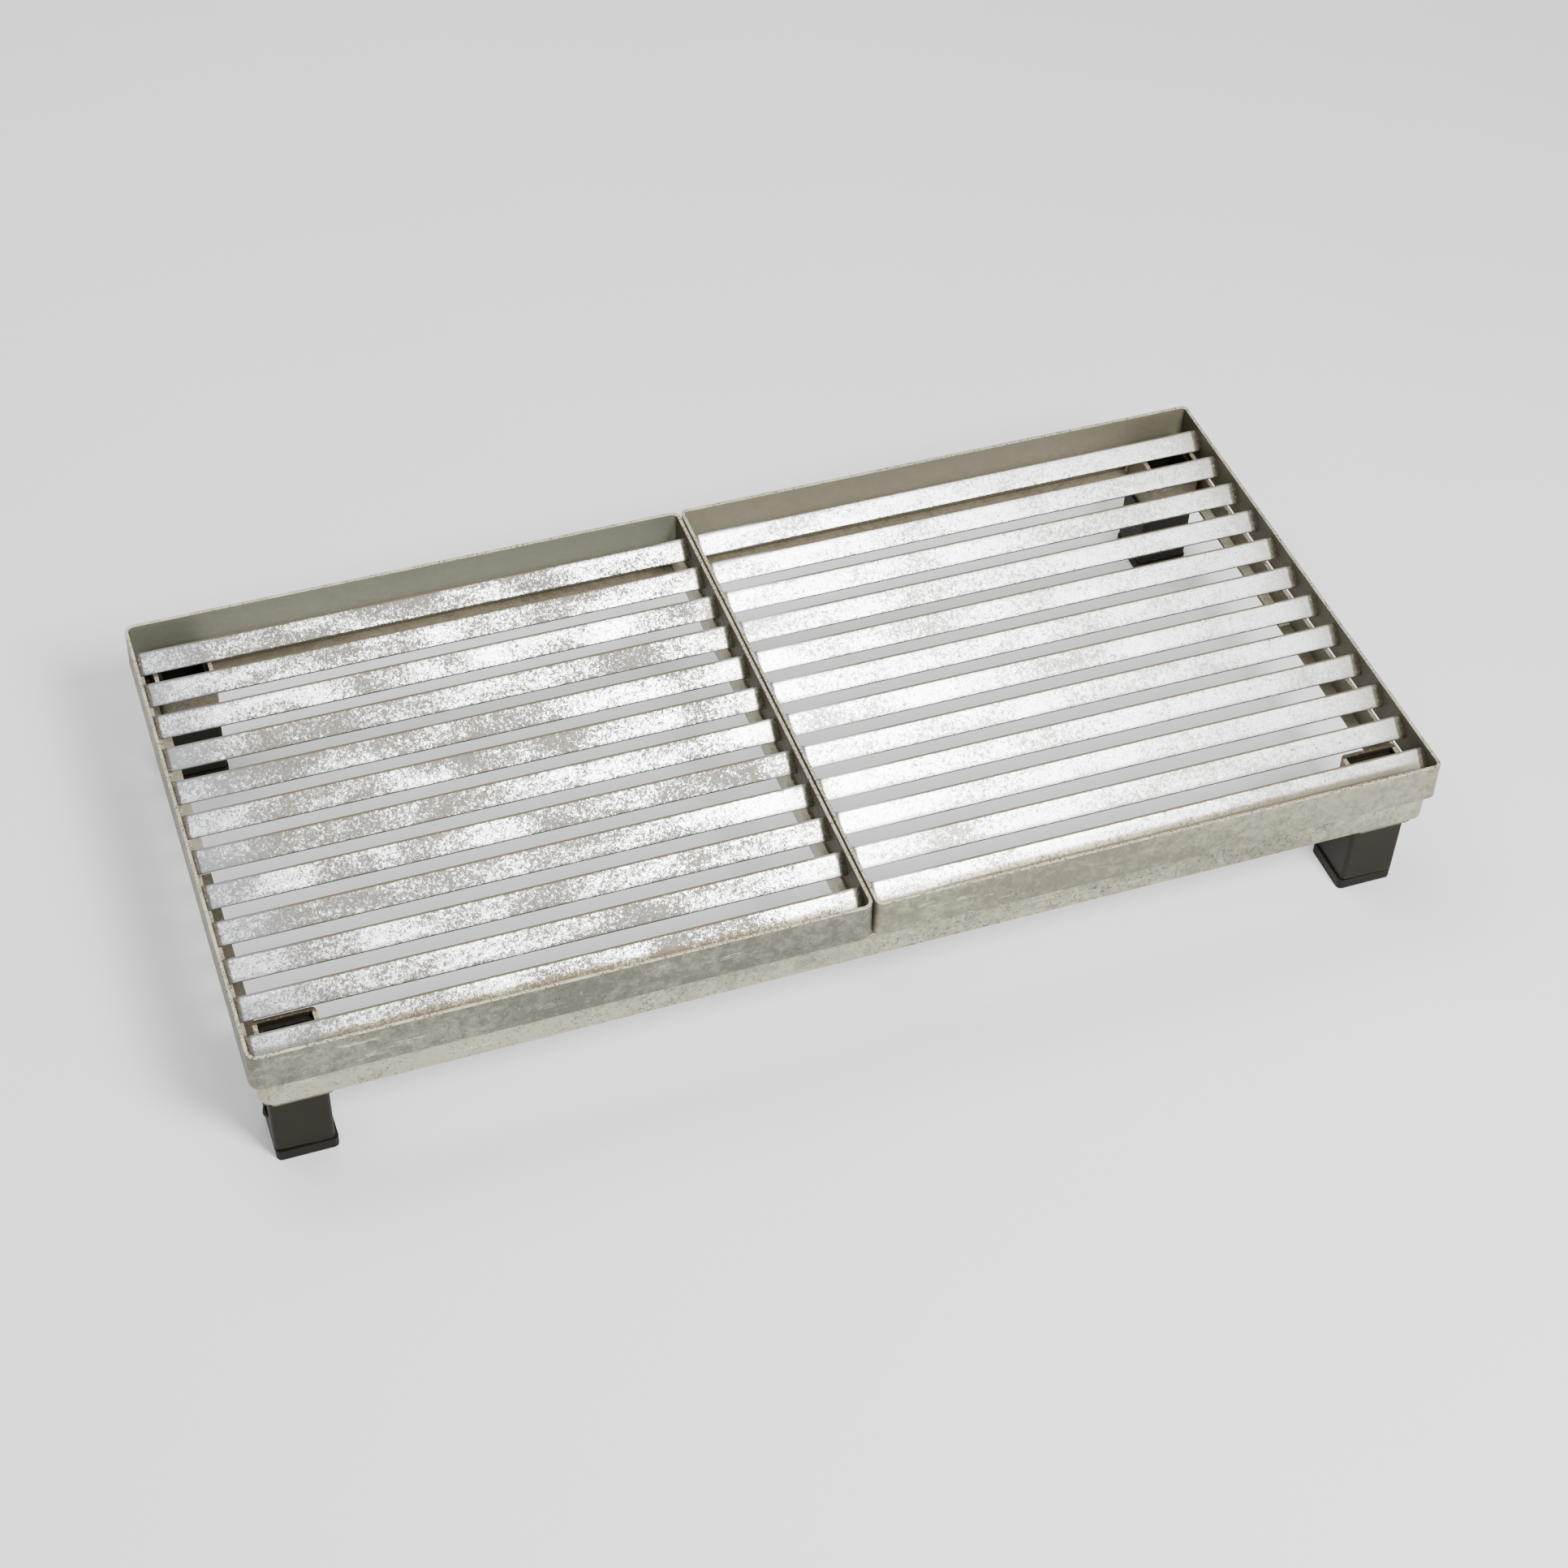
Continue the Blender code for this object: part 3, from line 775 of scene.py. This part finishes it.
def make_drip():
    """A hardened lump of paint on the left face of the front left leg."""
    low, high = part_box("foot_cap_front_left")
    middle = Vector((low.x - 1.1 * MM, low.y + 0.34 * (high.y - low.y), DRIP_HEIGHT))
    points, faces = [], []
    rows, columns = 8, 14
    for i in range(rows + 1):
        tilt = math.pi * i / rows
        for j in range(columns):
            turn = 2 * math.pi * j / columns
            direction = Vector((
                math.cos(tilt),
                math.sin(tilt) * math.cos(turn),
                math.sin(tilt) * math.sin(turn),
            ))
            radius = DRIP_RADIUS * (1 + 0.25 * noise.noise(direction * 1.7 + Vector((5.0, 0.0, 0.0))))
            points.append((
                middle.x + direction.x * radius * 0.55,
                middle.y + direction.y * radius * 0.8,
                middle.z + direction.z * radius * 1.15,
            ))
    for i in range(rows):
        a, b = i * columns, (i + 1) * columns
        for j in range(columns):
            k = (j + 1) % columns
            faces.append((a + j, b + j, b + k, a + k))
    drip = new_piece("paint_drip", points, faces, LEG_PAINT, 60.0)
    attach(drip, "leg_front_left")


# ---------------------------------------------------------------- CAD nodes kept with a finish

def dress(node, material, edge_width=0.0, segments=3):
    """Gives a CAD node its material, and rounds its edges if edge_width isn't 0."""
    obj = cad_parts[node]
    obj.data.materials.clear()
    obj.data.materials.append(material)
    if edge_width:
        modifier = obj.modifiers.new("edges", "BEVEL")
        modifier.width = edge_width
        modifier.segments = segments
        modifier.limit_method = "ANGLE"
        modifier.angle_limit = math.radians(40)
        modifier.harden_normals = False


def build_object():
    for side, rim_seed, first_slat_seed in (("left", 2.0, 0.0), ("right", 8.0, 40.0)):
        body = side + "_grate"
        make_rim(side + "_grate_rim", body, RIM_ZINC[side], RIM_CORNER_RADIUS[side], rim_seed)
        for index in range(1, SLATS_PER_GRATE + 1):
            node = f"{side}_slat_{index:02d}"
            make_slat(node, body, SLAT_ZINC[side], index * 1.37 + first_slat_seed)
        make_slat_welds(side, body)
    make_frame_welds()
    dress("base_frame", FRAME_ZINC, 0.8 * MM)
    dress("centre_crossbar", CROSSBAR_ZINC_LIT, 0.5 * MM)
    for corner in CORNERS:
        dress("leg_socket_" + corner, SOCKET_ZINC[corner], 0.4 * MM, 2)
        dress("leg_" + corner, LEG_PAINT, 0.6 * MM)
        dress("foot_cap_" + corner, CAP_PLASTIC)
    make_drip()


# ---------------------------------------------------------------- floor, lights and camera

def make_floor():
    s = Shader("floor_paper")
    material = s.finish(Base_Color=s.mix(s.noise(3.0, 3.0, 0.5), *FLOOR_TONES), Roughness=0.9)
    mesh = bpy.data.meshes.new("floor")
    side = FLOOR_HALF_SIDE
    corners = [(-side, -side, 0), (side, -side, 0), (side, side, 0), (-side, side, 0)]
    mesh.from_pydata(corners, [], [(0, 1, 2, 3)])
    mesh.materials.append(material)
    floor = bpy.data.objects.new("floor", mesh)
    bpy.context.scene.collection.objects.link(floor)


def area_light(name, place, target, size, power, colour=(1.0, 1.0, 1.0)):
    light = bpy.data.lights.new(name, "AREA")
    light.shape = "RECTANGLE"
    light.size, light.size_y = size
    light.energy = power
    light.color = colour
    obj = bpy.data.objects.new(name, light)
    obj.location = place
    obj.rotation_mode = "QUATERNION"
    obj.rotation_quaternion = (Vector(target) - Vector(place)).to_track_quat("-Z", "Y")
    bpy.context.scene.collection.objects.link(obj)


def make_lights():
    world = bpy.data.worlds.new("studio")
    bpy.context.scene.world = world
    world.use_nodes = True
    background = world.node_tree.nodes["Background"]
    background.inputs["Color"].default_value = WORLD_COLOUR
    background.inputs["Strength"].default_value = WORLD_STRENGTH
    area_light("key_softbox", (0.66, -1.95, 2.35), (0.1, -0.1, 0.0), (0.8, 1.1), KEY_POWER, KEY_COLOUR)
    area_light("top_softbox", (-0.6, 1.2, 2.8), (0.0, 0.0, 0.0), (2.4, 1.6), TOP_POWER)


def make_camera():
    forward = Vector((
        math.sin(CAMERA_AZIMUTH) * math.cos(CAMERA_ELEVATION),
        math.cos(CAMERA_AZIMUTH) * math.cos(CAMERA_ELEVATION),
        -math.sin(CAMERA_ELEVATION),
    ))
    level = Vector((math.cos(CAMERA_AZIMUTH), -math.sin(CAMERA_AZIMUTH), 0.0))
    down = forward.cross(level)
    right = level * math.cos(CAMERA_ROLL) + down * math.sin(CAMERA_ROLL)
    up = level * math.sin(CAMERA_ROLL) - down * math.cos(CAMERA_ROLL)
    camera = bpy.data.cameras.new("camera")
    camera.sensor_width = 36.0
    camera.lens = CAMERA_LENS_MM
    camera.shift_x, camera.shift_y = CAMERA_SHIFT
    camera.clip_end = 50.0
    obj = bpy.data.objects.new("camera", camera)
    turn = Matrix((right, up, -forward)).transposed().to_4x4()
    obj.matrix_world = Matrix.Translation(CAMERA_PLACE) @ turn
    bpy.context.scene.collection.objects.link(obj)
    bpy.context.scene.camera = obj


make_camera()
make_lights()
make_floor()
build_object()
